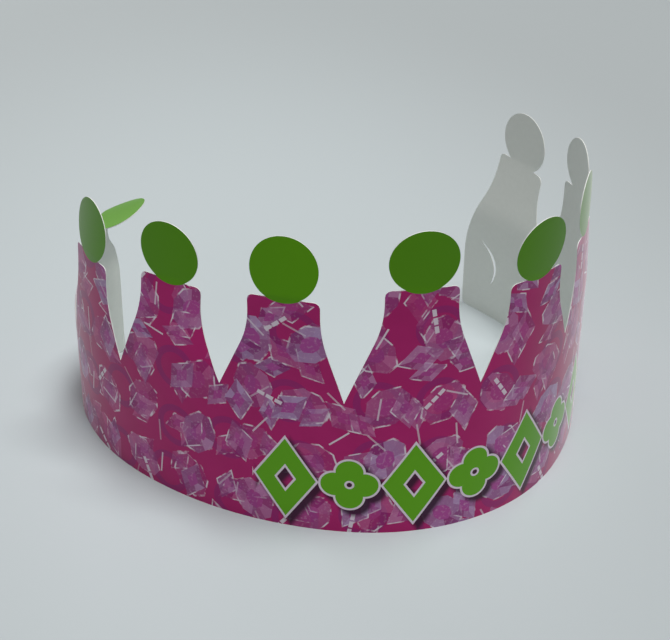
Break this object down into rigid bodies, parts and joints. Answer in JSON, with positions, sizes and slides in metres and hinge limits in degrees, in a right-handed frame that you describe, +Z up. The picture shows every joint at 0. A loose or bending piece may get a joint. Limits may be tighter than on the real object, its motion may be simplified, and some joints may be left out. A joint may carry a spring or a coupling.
{
  "type": "paper crown",
  "caption": "Open paper crown: a printed card strip bent into a C, standing on its straight edge, with flared spikes topped by round discs and a curved closing slit at one end.",
  "frame": {"origin": "middle of the crown's outline, on the surface that its bottom edge stands on", "axes": "+Z up, -Y out of the face of the middle spike, +Y towards the open back, +X to the right seen from the front"},
  "size_m": [0.266, 0.211, 0.1653],
  "materials": {
    "printed_card": "coated card, printed outside, plain inside"
  },
  "bodies": {
    "root": {"card_crown": "printed_card"}
  },
  "joints": []
}
